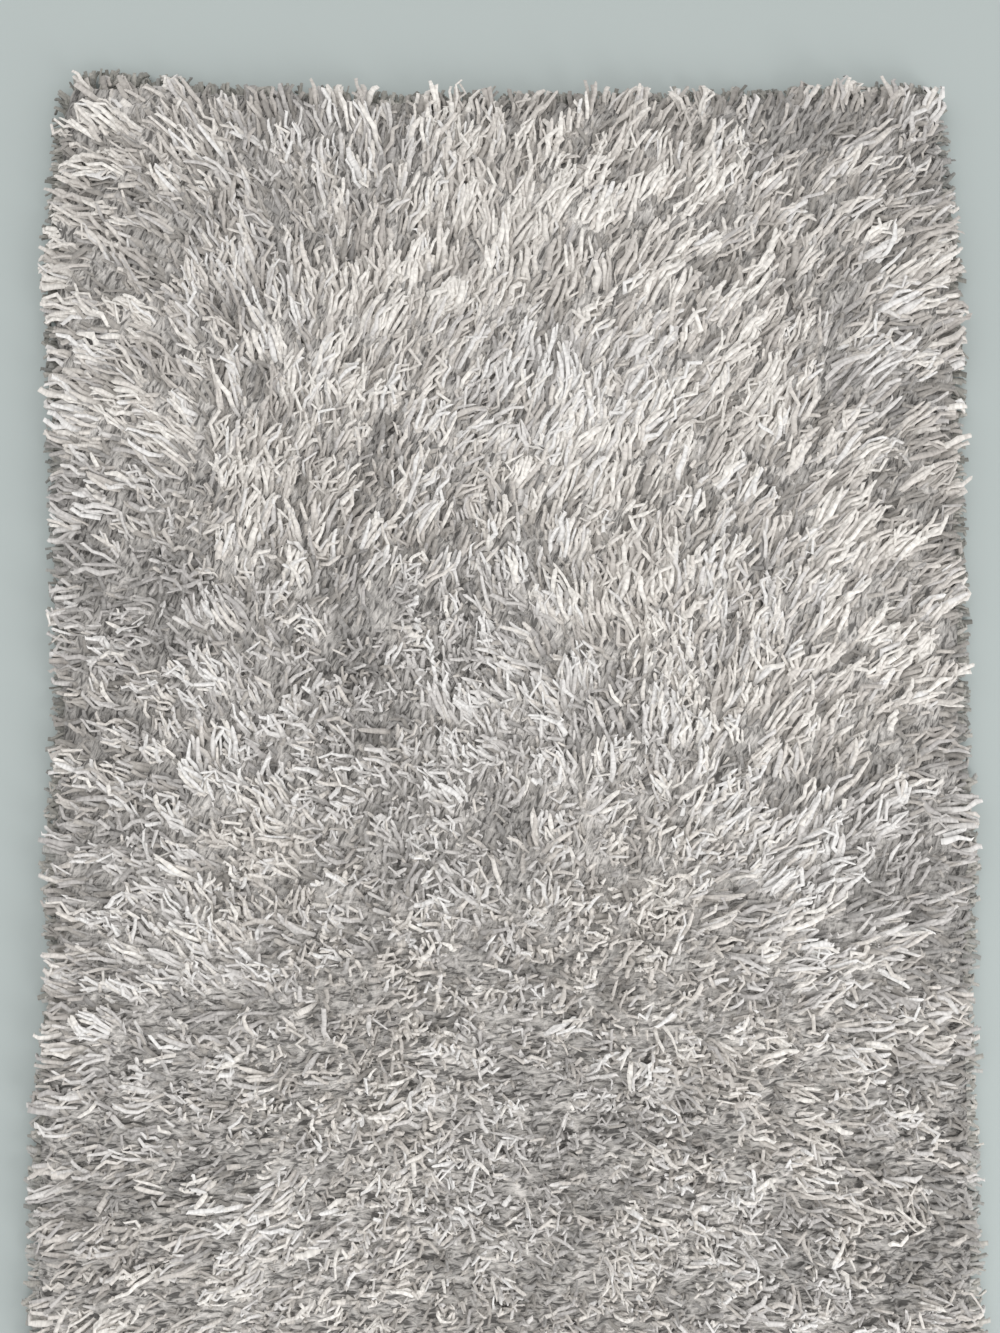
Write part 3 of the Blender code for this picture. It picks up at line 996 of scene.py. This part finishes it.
backingCloth = {
    "size": (0.678, 1.378),
    "cornerRadius": 0.02, "cornerSteps": 6,
    "thickness": 0.003,
    "threadPitch": 0.0024, "threadBend": 1.2, "bendDetail": 2,
    "fuzzScale": 90, "fuzzDetail": 4, "fuzz": 0.4,
    "bump": (0.7, 0.0008),
    "roughness": 0.95,
    "dark": (0.30, 0.27, 0.23), "light": (0.60, 0.56, 0.49),
    "darkBelow": 0.15, "lightAbove": 0.9,  # heights in the weave
}


def clothMaterial():
    # a plain weave of coarse thread, made of two sets of ribs that cross
    material, tree, shader = newMaterial("backingCloth", backingCloth["roughness"])
    place = addNode(tree, "ShaderNodeTexCoord").outputs["Object"]
    ribs = []
    for direction in ("X", "Y"):
        wave = addNode(tree, "ShaderNodeTexWave", wave_type="BANDS", bands_direction=direction)
        # at scale 1 a wave turns 20 radians a metre
        wave.inputs["Scale"].default_value = 2 * pi / (20 * backingCloth["threadPitch"])
        wave.inputs["Distortion"].default_value = backingCloth["threadBend"]
        wave.inputs["Detail"].default_value = backingCloth["bendDetail"]
        tree.links.new(place, wave.inputs["Vector"])
        ribs.append(wave.outputs["Fac"])
    weave = mathNode(tree, "MULTIPLY", ribs[0], ribs[1])
    fuzz = noiseNode(tree, place, backingCloth["fuzzScale"], backingCloth["fuzzDetail"])
    height = mathNode(tree, "ADD", weave, mathNode(tree, "MULTIPLY", fuzz, backingCloth["fuzz"]))
    darkest = backingCloth["darkBelow"], backingCloth["dark"]
    lightest = backingCloth["lightAbove"], backingCloth["light"]
    colour = rampNode(tree, height, [darkest, lightest])
    tree.links.new(colour, shader.inputs["Base Color"])
    addBump(tree, height, *backingCloth["bump"])
    return material


def makeBacking():
    # a thin slab with rounded corners, under the lower pile
    bpy.ops.object.select_all(action="DESELECT")
    bpy.ops.mesh.primitive_plane_add(size=1)
    backing = bpy.context.object
    backing.name = "backing_cloth"
    backing.scale = (*backingCloth["size"], 1)
    bpy.ops.object.transform_apply(location=False, rotation=False, scale=True)
    bpy.ops.object.mode_set(mode="EDIT")
    bpy.ops.mesh.select_all(action="SELECT")
    steps = backingCloth["cornerSteps"]
    bpy.ops.mesh.bevel(offset=backingCloth["cornerRadius"], segments=steps, affect="VERTICES")
    bpy.ops.mesh.select_all(action="SELECT")
    rise = {"value": (0, 0, backingCloth["thickness"])}
    bpy.ops.mesh.extrude_region_move(TRANSFORM_OT_translate=rise)
    bpy.ops.mesh.select_all(action="SELECT")
    bpy.ops.mesh.normals_make_consistent(inside=False)
    bpy.ops.object.mode_set(mode="OBJECT")
    backing.data.materials.append(clothMaterial())
    return backing


backing = makeBacking()
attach(backing, "root")
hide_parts("shag_rug")
print("backing made")

stage = {
    "floor": (0.45, 0.50, 0.49), "floorRoughness": 0.9,
    "floorSize": 18,
    "keyFrom": (1.5, -1.3, 1.2), "keySize": 1.0, "keyPower": 22,
    "fillFrom": (-1.5, 1.5, 2.2), "fillSize": 2.0, "fillPower": 9,
    "lightsAim": (0, 0.2, 0),
    "worldLight": 0.868,
    "cameraAt": (-0.0065, 0.2113, 0.7746),
    "cameraTilt": 2.75,        # degrees from straight down
    "lens": 27, "sensor": 36,
}


def areaLight(name, place, size, power):
    bpy.ops.object.light_add(type="AREA", location=place)
    lamp = bpy.context.object
    lamp.name = name
    lamp.data.size = size
    lamp.data.energy = power
    aim = Vector(stage["lightsAim"]) - Vector(place)
    lamp.rotation_euler = aim.to_track_quat("-Z", "Y").to_euler()


bpy.ops.mesh.primitive_plane_add(size=stage["floorSize"])
floor = bpy.context.object
floor.name = "floor"
floorMaterial, floorTree, floorShader = newMaterial("paleFloor", stage["floorRoughness"])
floorShader.inputs["Base Color"].default_value = (*stage["floor"], 1)
floor.data.materials.append(floorMaterial)

areaLight("key", stage["keyFrom"], stage["keySize"], stage["keyPower"])
areaLight("fill", stage["fillFrom"], stage["fillSize"], stage["fillPower"])
world = bpy.data.worlds.new("studio")
bpy.context.scene.world = world
world.use_nodes = True
background = world.node_tree.nodes["Background"]
background.inputs["Color"].default_value = (1, 1, 1, 1)
background.inputs["Strength"].default_value = stage["worldLight"]

bpy.ops.object.camera_add(location=stage["cameraAt"], rotation=(radians(stage["cameraTilt"]), 0, 0))
camera = bpy.context.object
camera.data.lens = stage["lens"]
camera.data.sensor_width = stage["sensor"]
bpy.context.scene.camera = camera
bpy.context.scene.view_settings.view_transform = "Standard"
